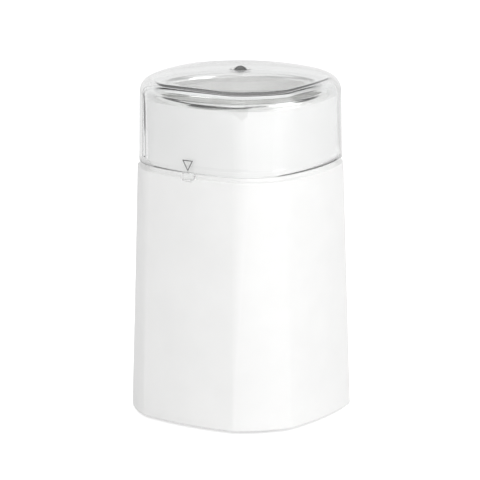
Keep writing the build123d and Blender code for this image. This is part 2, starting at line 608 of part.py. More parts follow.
# Carrier under the bowl: arms to the housing's bosses, bearing hub, motor posts and switch web
with BuildPart() as motor_carrier:
    with BuildSketch(Plane.XY.offset(CARRIER_UNDER)):
        Circle(CARRIER_DISC)
        with PolarLocations(0, 4, start_angle=45):
            Rectangle(BOSS_CIRCLE, CARRIER_ARM, align=(Align.MIN, Align.CENTER))
        with PolarLocations(BOSS_CIRCLE, 4, start_angle=45):
            Circle(CARRIER_ARM / 2)
        Rectangle(TONGUE_PLATE, PIN_PLACE + 2 * PIN_RADIUS, align=(Align.CENTER, Align.MAX))
        with Locations((CASE_LEFT, -WEB_FRONT)):
            Rectangle(SWITCH_LENGTH, WEB_FRONT / 2, align=(Align.MIN, Align.MIN))
        with PolarLocations(BOSS_CIRCLE, 4, start_angle=45):
            Circle(SCREW_RADIUS + SLIDE_CLEARANCE, mode=Mode.SUBTRACT)
        with Locations((0, -PIN_PLACE)):
            Circle(PIN_RADIUS + SLIDE_CLEARANCE, mode=Mode.SUBTRACT)
    extrude(amount=CARRIER_PLATE)
    with Locations((0, 0, SEAT_TOP)):
        Cylinder(HUB_RADIUS, CARRIER_SEAT, align=(Align.CENTER, Align.CENTER, Align.MAX))
        Cylinder(GASKET_RADIUS, CARRIER_PLATE, align=(Align.CENTER, Align.CENTER, Align.MAX))
    # Ribs from the hub to the plate's rim
    with BuildSketch(Plane.XZ):
        with BuildLine():
            Polyline(
                (HUB_RADIUS - HUB_RIB / 2, CARRIER_TOP),
                (CARRIER_DISC, CARRIER_TOP),
                (GASKET_RADIUS, SEAT_TOP - CARRIER_PLATE),
                (HUB_RADIUS - HUB_RIB / 2, SEAT_TOP - CARRIER_PLATE),
                close=True,
            )
        make_face()
    rib = extrude(amount=HUB_RIB / 2, both=True, mode=Mode.PRIVATE)
    for turn in range(4):
        add(rib.rotate(Axis.Z, 90 * turn))
    for place in (-BOLT_PLACE, BOLT_PLACE):
        with Locations((0, place, CARRIER_UNDER)):
            Cylinder(POST_RADIUS, POST_LENGTH, align=(Align.CENTER, Align.CENTER, Align.MAX))
    # Web with two pegs behind the switch
    with BuildSketch(Plane.XZ.offset(WEB_FRONT - WEB_THICKNESS)):
        with Locations((CASE_LEFT, CARRIER_UNDER)):
            Rectangle(
                SWITCH_LENGTH,
                CARRIER_UNDER - CASE_TOP + SWITCH_HEIGHT,
                align=(Align.MIN, Align.MAX),
            )
    extrude(amount=WEB_THICKNESS)
    with BuildSketch(Plane.XZ.offset(WEB_FRONT)):
        with Locations((CASE_LEFT + SWITCH_LENGTH / 2, CASE_TOP - SWITCH_PEG_DROP)):
            with GridLocations(SWITCH_PEG_SPACING, 1, 2, 1):
                Circle(SWITCH_PEG)
    extrude(amount=SWITCH_THICKNESS)
    # Bearing seat, seal recess and bolt holes
    with Locations((0, 0, CARRIER_TOP)):
        Cylinder(
            BEARING_RADIUS,
            BEARING_LENGTH,
            align=(Align.CENTER, Align.CENTER, Align.MIN),
            mode=Mode.SUBTRACT,
        )
    with Locations((0, 0, SEAT_TOP)):
        Hole(BOWL_HOLE, depth=SEAL_DEPTH)
        Hole(SHAFT_RADIUS + SHAFT_CLEARANCE, depth=SEAT_TOP - CARRIER_UNDER)
    for place in (-BOLT_PLACE, BOLT_PLACE):
        with Locations((0, place, STACK_TOP)):
            Cylinder(
                BOLT_RADIUS + SEAT_CLEARANCE,
                POST_LENGTH,
                align=(Align.CENTER, Align.CENTER, Align.MIN),
                mode=Mode.SUBTRACT,
            )
motor_carrier.part.label = "motor_carrier"

with BuildPart() as carrier_screws:
    for corner in range(4):
        place = Vector(BOSS_CIRCLE, 0).rotate(Axis.Z, 45 + 90 * corner)
        with Locations((place.X, place.Y, CARRIER_UNDER)):
            screw(CARRIER_PLATE + SCREW_GRIP)
carrier_screws.part.label = "carrier_screws"

with BuildPart() as upper_bearing:
    ring(
        BEARING_RADIUS - SEAT_CLEARANCE,
        SHAFT_RADIUS + RUNNING_CLEARANCE,
        CARRIER_TOP,
        CARRIER_TOP + BEARING_LENGTH,
    )
upper_bearing.part.label = "upper_bearing"

# Stator: yoke, two pole necks with curved shoes, and two bolt holes
with BuildPart() as stator_core:
    with BuildSketch(Plane.XY.offset(STACK_UNDER)):
        RectangleRounded(STACK_WIDTH, STACK_DEPTH, STACK_CORNER)
        RectangleRounded(
            STACK_WIDTH - 2 * YOKE, STACK_DEPTH - 2 * YOKE_SIDE, STACK_CORNER / 2, mode=Mode.SUBTRACT
        )
        Rectangle(STACK_WIDTH - YOKE, POLE_NECK)
        shoe_outer = STACK_BORE + POLE_SHOE
        for middle in (0, 180):
            with BuildLine():
                spread = shoe_outer * 2
                Polyline(
                    (0, 0),
                    (spread * cos(radians(middle - POLE_ANGLE)), spread * sin(radians(middle - POLE_ANGLE))),
                    (spread * cos(radians(middle)) * 2, 0),
                    (spread * cos(radians(middle + POLE_ANGLE)), spread * sin(radians(middle + POLE_ANGLE))),
                    close=True,
                )
            shoe = make_face(mode=Mode.PRIVATE).intersect(Circle(shoe_outer, mode=Mode.PRIVATE))
            add(shoe)
        Circle(STACK_BORE, mode=Mode.SUBTRACT)
        with Locations((0, -BOLT_PLACE), (0, BOLT_PLACE)):
            Circle(BOLT_RADIUS + TOUCH, mode=Mode.SUBTRACT)
    extrude(amount=STACK_HEIGHT)
stator_core.part.label = "stator_core"


def field_coil(side, name):
    """Winding round one pole neck, on the +X or the -X side of the stator."""
    inner = STACK_BORE + POLE_SHOE + COIL_CLEARANCE
    level = (STACK_TOP + STACK_UNDER) / 2
    with BuildPart() as winding:
        with BuildSketch(Plane.YZ.offset(side * inner)):
            with Locations((0, level)):
                opening_y = POLE_NECK + 2 * COIL_CLEARANCE
                opening_z = STACK_HEIGHT + 2 * COIL_CLEARANCE
                RectangleRounded(opening_y + 2 * COIL_WIDTH, opening_z + 2 * COIL_WIDTH, COIL_WIDTH)
                Rectangle(opening_y, opening_z, mode=Mode.SUBTRACT)
        extrude(amount=side * COIL_THICKNESS)
    winding.part.label = name
    return winding


field_coil_right = field_coil(1, "field_coil_right")
field_coil_left = field_coil(-1, "field_coil_left")

# Lower bracket: bearing hub, posts up to the stator and arms under the brush holders
with BuildPart() as lower_bracket:
    with BuildSketch(Plane.XY.offset(BRACKET_UNDER)):
        Circle(BRACKET_HUB + YOKE / 2)
        SlotCenterToCenter(2 * BOLT_PLACE, BRACKET_ARM, rotation=90)
        Rectangle(2 * HOLDER_END, BRACKET_ARM)
    extrude(amount=BRACKET_PLATE)
    with Locations((0, 0, LOWER_HUB_UNDER)):
        Cylinder(BRACKET_HUB, 2 * BRACKET_PLATE, align=(Align.CENTER, Align.CENTER, Align.MIN))
    for place in (-BOLT_PLACE, BOLT_PLACE):
        with Locations((0, place, BRACKET_TOP)):
            Cylinder(POST_RADIUS, STACK_UNDER - BRACKET_TOP, align=(Align.CENTER, Align.CENTER, Align.MIN))
        with Locations((0, place, STACK_UNDER)):
            Hole(BOLT_RADIUS + SEAT_CLEARANCE, depth=STACK_UNDER - BRACKET_UNDER)
    with Locations((0, 0, BRACKET_TOP)):
        Hole(BEARING_RADIUS, depth=2 * BRACKET_PLATE - WASHER_THICKNESS)
        Hole(SHAFT_RADIUS + SHAFT_CLEARANCE, depth=2 * BRACKET_PLATE)
lower_bracket.part.label = "lower_bracket"

with BuildPart() as lower_bearing:
    ring(
        BEARING_RADIUS - SEAT_CLEARANCE,
        SHAFT_RADIUS + RUNNING_CLEARANCE,
        LOWER_HUB_UNDER + WASHER_THICKNESS,
        BRACKET_TOP,
    )
lower_bearing.part.label = "lower_bearing"

with BuildPart() as motor_bolts:
    for place in (-BOLT_PLACE, BOLT_PLACE):
        with Locations((0, place, BRACKET_UNDER)):
            Cylinder(
                BOLT_RADIUS,
                STACK_TOP + BOLT_GRIP - BRACKET_UNDER,
                align=(Align.CENTER, Align.CENTER, Align.MIN),
            )
            Cylinder(SCREW_HEAD_RADIUS, SCREW_HEAD_HEIGHT, align=(Align.CENTER, Align.CENTER, Align.MAX))
motor_bolts.part.label = "motor_bolts"


def brush_gear(side, suffix):
    """Holder, carbon brush and spring on the +X or the -X side of the commutator."""
    across = BRUSH_SIDE + 2 * TOUCH
    outside = across + 2 * HOLDER_WALL
    with BuildPart() as holder:
        with BuildSketch(Plane.YZ.offset(side * HOLDER_START)):
            with Locations((0, BRUSH_LEVEL)):
                Rectangle(outside, outside)
                Rectangle(across, across, mode=Mode.SUBTRACT)
        extrude(amount=side * (HOLDER_END - HOLDER_START))
        with BuildSketch(Plane.YZ.offset(side * (HOLDER_END - HOLDER_WALL))):
            with Locations((0, BRUSH_LEVEL)):
                Rectangle(outside, outside)
        extrude(amount=side * HOLDER_WALL)
        foot_length = (HOLDER_END - HOLDER_START) / 2
        with Locations((side * (HOLDER_START + foot_length), 0, BRACKET_TOP)):
            Box(
                foot_length,
                BRUSH_SIDE,
                BRUSH_LEVEL - outside / 2 - BRACKET_TOP,
                align=(Align.CENTER, Align.CENTER, Align.MIN),
            )
    holder.part.label = f"brush_holder_{suffix}"
    with BuildPart() as brush:
        with BuildSketch(Plane.YZ.offset(side * BRUSH_BLANK_START)):
            with Locations((0, BRUSH_LEVEL)):
                Rectangle(BRUSH_SIDE, BRUSH_SIDE)
        extrude(amount=side * (BRUSH_END - BRUSH_BLANK_START))
        with Locations((0, 0, BRUSH_LEVEL)):
            Cylinder(BRUSH_START, 2 * BRUSH_SIDE, mode=Mode.SUBTRACT)
    brush.part.label = f"carbon_brush_{suffix}"
    with BuildPart() as spring:
        room = HOLDER_END - HOLDER_WALL - BRUSH_END
        coil((side * BRUSH_END, 0, BRUSH_LEVEL), (side, 0, 0), room, BRUSH_SPRING_TURNS)
    spring.part.label = f"brush_spring_{suffix}"
    return holder, brush, spring


right_brush_gear = brush_gear(1, "right")
left_brush_gear = brush_gear(-1, "left")

# Shaft from the lower bearing to the blade nut
with BuildPart() as motor_shaft:
    with Locations((0, 0, LOWER_HUB_UNDER)):
        Cylinder(
            SHAFT_RADIUS,
            SHAFT_TOP - LOWER_HUB_UNDER,
            align=(Align.CENTER, Align.CENTER, Align.MIN),
        )
    chamfer(motor_shaft.edges().filter_by(GeomType.CIRCLE), SHAFT_RADIUS / 6)
motor_shaft.part.label = "motor_shaft"

with BuildPart() as armature_core:
    with BuildSketch(Plane.XY.offset(STACK_UNDER)):
        Circle(ARMATURE_RADIUS)
        Circle(SHAFT_RADIUS + SEAT_CLEARANCE, mode=Mode.SUBTRACT)
        slot_circle = ARMATURE_RADIUS - SLOT_RADIUS - SLOT_MOUTH
        with PolarLocations(slot_circle, SLOT_COUNT):
            Circle(SLOT_RADIUS, mode=Mode.SUBTRACT)
            Rectangle(
                2 * SLOT_RADIUS + SLOT_MOUTH,
                SLOT_MOUTH,
                align=(Align.MIN, Align.CENTER),
                mode=Mode.SUBTRACT,
            )
    extrude(amount=STACK_HEIGHT)
armature_core.part.label = "armature_core"

# Winding: bars in the slots joined by the bundled turns at both ends
with BuildPart() as armature_winding:
    with BuildSketch(Plane.XY.offset(STACK_UNDER - WINDING_OVERHANG / 2)):
        with PolarLocations(slot_circle, SLOT_COUNT):
            Circle(SLOT_RADIUS - COIL_CLEARANCE)
    extrude(amount=STACK_HEIGHT + WINDING_OVERHANG)
    for low in (STACK_TOP + COIL_CLEARANCE, STACK_UNDER - WINDING_OVERHANG):
        with BuildSketch(Plane.XZ) as bundle:
            with Locations((SHAFT_RADIUS + SHAFT_CLEARANCE, low)):
                Rectangle(
                    WINDING_RADIUS - SHAFT_RADIUS - SHAFT_CLEARANCE,
                    WINDING_OVERHANG - COIL_CLEARANCE,
                    align=(Align.MIN, Align.MIN),
                )
            fillet(bundle.vertices(), WINDING_OVERHANG / 4)
        revolve(axis=Axis.Z)
armature_winding.part.label = "armature_winding"

with BuildPart() as commutator:
    bore = SHAFT_RADIUS + SEAT_CLEARANCE
    ring(COMMUTATOR_RADIUS, bore, COMMUTATOR_UNDER, COMMUTATOR_TOP)
    ring(RISER_RADIUS, bore, COMMUTATOR_TOP - RISER_HEIGHT, COMMUTATOR_TOP)
    with Locations(Plane.XY.offset(COMMUTATOR_UNDER)):
        with PolarLocations(RISER_RADIUS, SEGMENT_COUNT):
            Box(
                2 * (RISER_RADIUS - COMMUTATOR_RADIUS + SEGMENT_GROOVE),
                SEGMENT_GROOVE,
                COMMUTATOR_HEIGHT,
                align=(Align.CENTER, Align.CENTER, Align.MIN),
                mode=Mode.SUBTRACT,
            )
commutator.part.label = "commutator"

# Washers that keep the rotor in place between its bearings
with BuildPart() as thrust_washers:
    bore = SHAFT_RADIUS + SEAT_CLEARANCE
    ring(WASHER_RADIUS, bore, CARRIER_UNDER - WASHER_THICKNESS - TOUCH, CARRIER_UNDER - TOUCH)
    ring(WASHER_RADIUS, bore, BRACKET_TOP + TOUCH, BRACKET_TOP + TOUCH + WASHER_THICKNESS)
thrust_washers.part.label = "thrust_washers"

with BuildPart() as blade_spacer:
    ring(SPACER_RADIUS, SHAFT_RADIUS + SEAT_CLEARANCE, SPACER_UNDER, BLADE_UNDER)
    chamfer(blade_spacer.edges().group_by(Axis.Z)[0].sort_by(SortBy.RADIUS)[-1], SPACER_HEIGHT / 3)
blade_spacer.part.label = "blade_spacer"

# Blade: two swept arms, bent up towards their tips, with ground leading edges
with BuildPart() as blade:
    with BuildSketch(Plane.XZ):
        with BuildLine() as bend:
            rise = (BLADE_REACH - BLADE_FLAT) * tan(radians(BLADE_LIFT))
            Polyline(
                (-BLADE_REACH, BLADE_UNDER + rise),
                (-BLADE_FLAT, BLADE_UNDER),
                (BLADE_FLAT, BLADE_UNDER),
                (BLADE_REACH, BLADE_UNDER + rise),
            )
            offset(amount=BLADE_THICKNESS, side=Side.LEFT)
        make_face()
    extrude(amount=BLADE_ROOT_WIDTH, both=True)
    with BuildSketch(Plane.XY.offset(BLADE_UNDER - BLADE_THICKNESS)):
        Circle(BLADE_ROOT_WIDTH / 2)
        with BuildLine():
            root = BLADE_ROOT_WIDTH / 2
            Polyline(
                (0, -root),
                (BLADE_REACH - BLADE_TIP_WIDTH / 2, root - BLADE_TIP_WIDTH),
                (BLADE_REACH, root - BLADE_TIP_WIDTH / 2),
                (BLADE_REACH - BLADE_TIP_WIDTH / 4, root),
                (0, root),
                close=True,
            )
        arm = make_face(mode=Mode.PRIVATE)
        for turn in (0, 180):
            add(arm.rotate(Axis.Z, turn))
        Circle(SHAFT_RADIUS + SEAT_CLEARANCE, mode=Mode.SUBTRACT)
    extrude(amount=BLADE_REACH, mode=Mode.INTERSECT)
    for side in (-1, 1):
        leading = blade.edges().filter_by(
            lambda edge: side * edge.center().X > BLADE_FLAT
            and side * edge.center().Y < 0
            and abs((edge % 0.5).X) > abs((edge % 0.5).Y)
        )
        chamfer(leading.sort_by(Axis.Z)[-1], BLADE_EDGE)
blade.part.label = "blade"

with BuildPart() as blade_nut:
    with BuildSketch(Plane.XY.offset(NUT_UNDER)):
        RegularPolygon(NUT_WIDTH / 2, 6, major_radius=False)
        Circle(SHAFT_RADIUS + SEAT_CLEARANCE, mode=Mode.SUBTRACT)
    extrude(amount=NUT_HEIGHT)
blade_nut.part.label = "blade_nut"

# Base plate with vents, foot pockets and screw holes
foot_places = [Vector(FOOT_CIRCLE, 0).rotate(Axis.Z, 45 + 90 * corner) for corner in range(4)]
screw_angles = [middle + side for middle in (0, 180) for side in (-BASE_SCREW_ANGLE, BASE_SCREW_ANGLE)]
screw_places = [Vector(BASE_SCREW_CIRCLE, 0).rotate(Axis.Z, angle) for angle in screw_angles]
with BuildPart() as base_plate:
    with BuildSketch(Plane.XY.offset(PLATE_UNDER)):
        soft_square(*plan_at(PLATE_TOP), inset=BODY_WALL + PLATE_CLEARANCE)
        with PolarLocations((VENT_INNER + VENT_OUTER) / 2, VENT_COUNT):
            SlotOverall(VENT_OUTER - VENT_INNER, VENT_WIDTH, mode=Mode.SUBTRACT)
    extrude(amount=PLATE_THICKNESS)
    for place in foot_places:
        with Locations((place.X, place.Y, PLATE_UNDER)):
            Cylinder(FOOT_RADIUS + TOUCH, 2 * FOOT_POCKET, mode=Mode.SUBTRACT)
    for place in screw_places:
        with Locations((place.X, place.Y, PLATE_UNDER)):
            Cylinder(SCREW_RADIUS + SLIDE_CLEARANCE, 3 * PLATE_THICKNESS, mode=Mode.SUBTRACT)
            Cylinder(SCREW_HEAD_RADIUS + SLIDE_CLEARANCE, 2 * SCREW_HEAD_HEIGHT, mode=Mode.SUBTRACT)
base_plate.part.label = "base_plate"

with BuildPart() as rubber_feet:
    for place in foot_places:
        with Locations((place.X, place.Y, 0)):
            Cylinder(FOOT_RADIUS, PLATE_UNDER + FOOT_POCKET, align=(Align.CENTER, Align.CENTER, Align.MIN))
    fillet(rubber_feet.edges().group_by(Axis.Z)[0], FOOT_DROP / 3)
rubber_feet.part.label = "rubber_feet"

with BuildPart() as base_screws:
    for place in screw_places:
        with Locations((place.X, place.Y, PLATE_UNDER + SCREW_HEAD_HEIGHT)):
            screw(PLATE_THICKNESS - SCREW_HEAD_HEIGHT + SCREW_GRIP)
base_screws.part.label = "base_screws"

# Gland in the back wall, flush outside, with its flange inside
gland_face = face_radius(0, GLAND_HEIGHT)
gland_inside = gland_face - BODY_WALL - GLAND_FLANGE_THICKNESS - SLIDE_CLEARANCE
with BuildPart() as cord_gland:
    with BuildSketch(Plane.XZ.offset(-gland_inside)):
        with Locations((0, GLAND_HEIGHT)):
            Circle(GLAND_FLANGE)
    extrude(amount=-GLAND_FLANGE_THICKNESS)
    with BuildSketch(Plane.XZ.offset(-gland_inside)):
        with Locations((0, GLAND_HEIGHT)):
            Circle(GLAND_RADIUS)
    extrude(amount=gland_inside - gland_face)
    with BuildSketch(Plane.XZ.offset(-gland_inside)):
        with Locations((0, GLAND_HEIGHT)):
            Circle(GLAND_BORE)
    extrude(amount=gland_inside - gland_face, mode=Mode.SUBTRACT)
cord_gland.part.label = "cord_gland"

pieces = [
    body_shell,
    lid,
    push_rod,
    return_spring,
    microswitch,
    switch_terminals,
    switch_lever,
    switch_button,
    grinding_bowl,
    bowl_gasket,
    shaft_seal,
    motor_carrier,
    carrier_screws,
    upper_bearing,
    stator_core,
    field_coil_right,
    field_coil_left,
    lower_bracket,
    lower_bearing,
    motor_bolts,
    *right_brush_gear,
    *left_brush_gear,
    motor_shaft,
    armature_core,
    armature_winding,
    commutator,
    thrust_washers,
    blade_spacer,
    blade,
    blade_nut,
    base_plate,
    rubber_feet,
    base_screws,
    cord_gland,
]
os.makedirs("parts", exist_ok=True)
for piece in pieces:
    export_step(piece.part, f"parts/{piece.part.label}.step")
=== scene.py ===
from math import atan2, cos, pi, radians, sin, sqrt

import bmesh
import bpy
from mathutils import Matrix, Vector


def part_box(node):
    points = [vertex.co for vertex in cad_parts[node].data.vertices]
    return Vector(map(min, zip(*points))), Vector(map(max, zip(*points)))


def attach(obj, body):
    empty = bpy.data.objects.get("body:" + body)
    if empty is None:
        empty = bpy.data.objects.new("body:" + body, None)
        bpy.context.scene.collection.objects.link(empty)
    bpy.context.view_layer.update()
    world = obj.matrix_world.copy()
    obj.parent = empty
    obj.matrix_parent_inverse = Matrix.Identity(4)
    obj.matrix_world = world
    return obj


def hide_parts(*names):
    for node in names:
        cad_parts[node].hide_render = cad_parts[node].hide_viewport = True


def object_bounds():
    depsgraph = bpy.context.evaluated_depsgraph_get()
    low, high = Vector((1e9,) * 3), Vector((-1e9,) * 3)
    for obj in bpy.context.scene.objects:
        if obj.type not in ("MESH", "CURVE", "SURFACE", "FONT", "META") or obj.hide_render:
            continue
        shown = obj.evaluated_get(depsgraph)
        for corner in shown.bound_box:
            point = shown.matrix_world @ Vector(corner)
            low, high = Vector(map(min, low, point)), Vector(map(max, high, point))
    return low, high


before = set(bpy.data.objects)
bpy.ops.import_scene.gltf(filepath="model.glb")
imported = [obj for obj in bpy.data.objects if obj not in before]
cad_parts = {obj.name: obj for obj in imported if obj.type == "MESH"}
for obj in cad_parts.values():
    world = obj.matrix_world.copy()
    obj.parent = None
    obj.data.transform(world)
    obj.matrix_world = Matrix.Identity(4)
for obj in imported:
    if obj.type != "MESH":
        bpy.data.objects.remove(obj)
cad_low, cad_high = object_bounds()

# Coffee grinder with a clear press-down lid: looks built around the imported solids.
# Metres, +Z up, front towards -Y.

MM = 0.001

# Clear lid, with the sizes of its solid, but a finer rounding of its lower edge
FACE_ARC = 92.0 * MM  # bulge of the four faces, seen from above
SEAM_FACE = 43.6 * MM  # axis to the middle of a face, at the housing's top edge
SEAM_CORNER = 47.6 * MM  # axis to a corner, at the housing's top edge
LID_SETBACK = 0.7 * MM  # lower edge of the lid inside that outline
LID_TOP_FACE = 44.0 * MM
LID_TOP_CORNER = 46.3 * MM
LID_HEIGHT = 41.3 * MM  # lower edge to the top of the dome
LID_SHOULDER = 7.0 * MM
LID_WALL = 2.3 * MM
LID_INNER_SHOULDER = LID_SHOULDER - LID_WALL
LID_ROOF = 2.6 * MM
LID_EDGE_ROUND = 0.15 * MM
DOME = 280.0 * MM
BEAD = 3.1 * MM
BEAD_HEIGHT = 1.7 * MM
CREASE_BLEND = 0.8 * MM  # how softly faces run into corners
TONGUE_DROP = 3.2 * MM
TONGUE_WIDTH = 6.2 * MM
TONGUE_INNER = 41.4 * MM
TONGUE_THICKNESS = 1.1 * MM
TONGUE_ROUND = 1.6 * MM

# Steps of the lid's mesh
LID_DIVISIONS = 240  # round the axis
EDGE_STEPS = 4
WALL_STEPS = 10
SHOULDER_STEPS = 14
DOME_STEPS = 16
BEAD_STEPS = 8
INNER_DOME_STEPS = 14
INNER_SHOULDER_STEPS = 10
INNER_WALL_STEPS = 8
TONGUE_CORNER_STEPS = 6

# Open triangle printed on the lid above its tongue
MARK_WIDTH = 5.9 * MM
MARK_HEIGHT = 5.2 * MM
MARK_ABOVE_EDGE = 1.0 * MM
MARK_LINE = 0.45 * MM
MARK_DEPTH = 0.06 * MM

# Camera
VIEW_AZIMUTH = 33.8  # degrees to the right of the front
CAMERA_DISTANCE = 1.53  # level distance to the axis
CAMERA_HEIGHT = 0.4374
CAMERA_PITCH = 13.165  # degrees below level
CAMERA_PAN = 0.015  # degrees to the left of the axis
CAMERA_ROLL = -0.15
SENSOR = 36.0
IMAGE_SIDE = 480
FOCAL_PIXELS = 3385.0
CLIP_END = 20.0

LID_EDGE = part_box("lid")[0].z + TONGUE_DROP
LID_CROWN = LID_EDGE + LID_HEIGHT


# Plan and profile of the lid


def soft_min(a, b, blend):
    """The smaller of two lengths, rounded where they are about equal."""
    share = max(blend - abs(a - b), 0.0) / blend
    return min(a, b) - share * share * blend / 4


def outline_radius(angle, face, corner, inset):
    """Distance from the axis to a round plan with four bulged faces, drawn in by an inset."""
    from_face = (angle + pi / 4) % (pi / 2) - pi / 4
    shift = FACE_ARC - face
    along = shift * cos(from_face)
    face_radius = sqrt(along**2 + (FACE_ARC - inset) ** 2 - shift**2) - along
    return soft_min(face_radius, corner - inset, CREASE_BLEND)


def lid_wall_radius(angle, height, inset=0.0):
    """Distance from the axis to the lid's wall at a height; the inset leads to its inside."""
    share = (height - LID_EDGE) / LID_HEIGHT
    edge = outline_radius(angle, SEAM_FACE, SEAM_CORNER, LID_SETBACK + inset)
    top = outline_radius(angle, LID_TOP_FACE, LID_TOP_CORNER, inset)
    return edge + share * (top - edge)


def dome_height(radius, depth=0.0):
    """Height of the lid's dome, or of a surface a depth below it."""
    return LID_CROWN - DOME + sqrt((DOME - depth) ** 2 - radius**2)


def shoulder_centre(wall, rounding, depth=0.0):
    """Centre of the rounding between wall and dome, and the slope of the dome where they meet."""
    centre = wall - rounding
    rise = sqrt((DOME - depth - rounding) ** 2 - centre**2)
    return (centre, LID_CROWN - DOME + rise), atan2(centre, rise)


def arc_points(centre, radius, start, end, steps):
    """Points of an arc as (distance from the axis, height), both ends included."""
    turns = [start + (end - start) * step / steps for step in range(steps + 1)]
    return [(centre[0] + radius * cos(turn), centre[1] + radius * sin(turn)) for turn in turns]


def lid_outside(angle):
    """Outside of the lid at an angle, from the lower edge to the rim of the bead."""
    top_wall = lid_wall_radius(angle, LID_CROWN - LID_SHOULDER)
    centre, lean = shoulder_centre(top_wall, LID_SHOULDER)
    low = LID_EDGE + LID_EDGE_ROUND
    high = centre[1]
    edge_centre = (lid_wall_radius(angle, LID_EDGE) - LID_EDGE_ROUND, low)
    points = arc_points(edge_centre, LID_EDGE_ROUND, -pi / 2, 0, EDGE_STEPS)
    for step in range(1, WALL_STEPS):
        height = low + (high - low) * step / WALL_STEPS
        points.append((lid_wall_radius(angle, height), height))
    points += arc_points(centre, LID_SHOULDER, 0, pi / 2 - lean, SHOULDER_STEPS)
    start = points[-1][0]
    for step in range(1, DOME_STEPS + 1):
        radius = start + (BEAD - start) * step / DOME_STEPS
        points.append((radius, dome_height(radius)))
    return points


def bead_points():
    """Bead at the middle of the dome, from just off its rim to its top."""
    sphere = (BEAD**2 + BEAD_HEIGHT**2) / (2 * BEAD_HEIGHT)
    centre = (0, dome_height(BEAD) + BEAD_HEIGHT - sphere)
    start = atan2(sphere - BEAD_HEIGHT, BEAD)
    return arc_points(centre, sphere, start, pi / 2, BEAD_STEPS)[1:]


def lid_inside(angle):
    """Inside of the lid at an angle, from its middle to the lower edge."""
    top_wall = lid_wall_radius(angle, LID_CROWN - LID_ROOF - LID_INNER_SHOULDER, LID_WALL)
    centre, lean = shoulder_centre(top_wall, LID_INNER_SHOULDER, LID_ROOF)
    fillet = arc_points(centre, LID_INNER_SHOULDER, pi / 2 - lean, 0, INNER_SHOULDER_STEPS)
    points = []
    for step in range(INNER_DOME_STEPS):
        radius = fillet[0][0] * step / INNER_DOME_STEPS
        points.append((radius, dome_height(radius, LID_ROOF)))
    points += fillet
    high = centre[1]
    for step in range(1, INNER_WALL_STEPS + 1):
        height = high + (LID_EDGE - high) * step / INNER_WALL_STEPS
        points.append((lid_wall_radius(angle, height, LID_WALL), height))
    return points


# Meshes


def new_object(name, data):
    piece = bpy.data.objects.new(name, data)
    bpy.context.scene.collection.objects.link(piece)
    return piece


def join_rings(shape, first, second):
    """Faces between two closed rings of points; a ring of one point closes an end."""
    count = max(len(first), len(second))
    for index in range(count):
        following = (index + 1) % count
        if len(first) == 1:
            shape.faces.new((first[0], second[following], second[index]))
        elif len(second) == 1:
            shape.faces.new((first[index], first[following], second[0]))
        else:
            shape.faces.new((first[index], first[following], second[following], second[index]))


def piece_from(shape, name, smooth=False):
    """Object made of a finished bmesh, with its faces turned outwards."""
    bmesh.ops.recalc_face_normals(shape, faces=shape.faces)
    mesh = bpy.data.meshes.new(name)
    shape.to_mesh(mesh)
    shape.free()
    for polygon in mesh.polygons:
        polygon.use_smooth = smooth
    return new_object(name, mesh)


def build_lid():
    angles = [2 * pi * index / LID_DIVISIONS for index in range(LID_DIVISIONS)]
    directions = [(cos(angle), sin(angle)) for angle in angles]
    columns = [lid_inside(angle) + lid_outside(angle) + bead_points() for angle in angles]
    rings = []
    for level in range(len(columns[0])):
        ring = []
        for (x, y), column in zip(directions, columns):
            radius, height = column[level]
            ring.append((x * radius, y * radius, height))
        rings.append(ring)
    for end in (0, -1):
        rings[end] = [(0, 0, columns[0][end][1])]
    shape = bmesh.new()
    rows = [[shape.verts.new(point) for point in ring] for ring in rings]
    for lower, upper in zip(rows, rows[1:]):
        join_rings(shape, lower, upper)
    return piece_from(shape, "lid_clear", smooth=True)


def build_tongue():
    """Tongue at the front of the lid's lower edge, with its lower corners rounded."""
    half = TONGUE_WIDTH / 2
    centre_height = LID_EDGE - TONGUE_DROP + TONGUE_ROUND
    outline = [(half, LID_EDGE)]
    for side, start in ((1, 0), (-1, -pi / 2)):
        centre = (side * (half - TONGUE_ROUND), centre_height)
        outline += arc_points(centre, TONGUE_ROUND, start, start - pi / 2, TONGUE_CORNER_STEPS)
    outline.append((-half, LID_EDGE))
    shape = bmesh.new()
    front = [shape.verts.new((x, -TONGUE_INNER - TONGUE_THICKNESS, z)) for x, z in outline]
    back = [shape.verts.new((x, -TONGUE_INNER, z)) for x, z in outline]
    shape.faces.new(front)
    shape.faces.new(back[::-1])
    join_rings(shape, back, front)
    return piece_from(shape, "lid_tongue")


def on_lid_front(point, lift):
    """Place of a point (sideways, height) on the lid's front face, lifted off the face."""
    angle = atan2(-1, point.x / lid_wall_radius(-pi / 2, point.y))
    radius = lid_wall_radius(angle, point.y) + lift
    return (radius * cos(angle), radius * sin(angle), point.y)


def build_mark():
    """Open triangle, point down, laid on the curve of the lid's front face."""
    low = LID_EDGE + MARK_ABOVE_EDGE
    outer = [
        Vector((-MARK_WIDTH / 2, low + MARK_HEIGHT)),
        Vector((MARK_WIDTH / 2, low + MARK_HEIGHT)),
        Vector((0, low)),
    ]
    middle = sum(outer, Vector((0, 0))) / 3
    shrink = 1 - MARK_LINE / (outer[0].y - middle.y)
    inner = [middle + (corner - middle) * shrink for corner in outer]
    under = -MARK_DEPTH / 2
    over = MARK_DEPTH / 2
    shape = bmesh.new()
    loops = []
    for corners, lift in ((outer, under), (outer, over), (inner, over), (inner, under)):
        loops.append([shape.verts.new(on_lid_front(corner, lift)) for corner in corners])
    for first, second in zip(loops, loops[1:] + loops[:1]):
        join_rings(shape, first, second)
    return piece_from(shape, "lid_mark")


# Shader nodes


def start_material(name):
    material = bpy.data.materials.new(name)
    material.use_nodes = True
    return material, material.node_tree


def feed(tree, value, socket):
    """Links an output to a socket, or sets a plain number there."""
    if isinstance(value, bpy.types.NodeSocket):
        tree.links.new(value, socket)
    else:
        socket.default_value = value


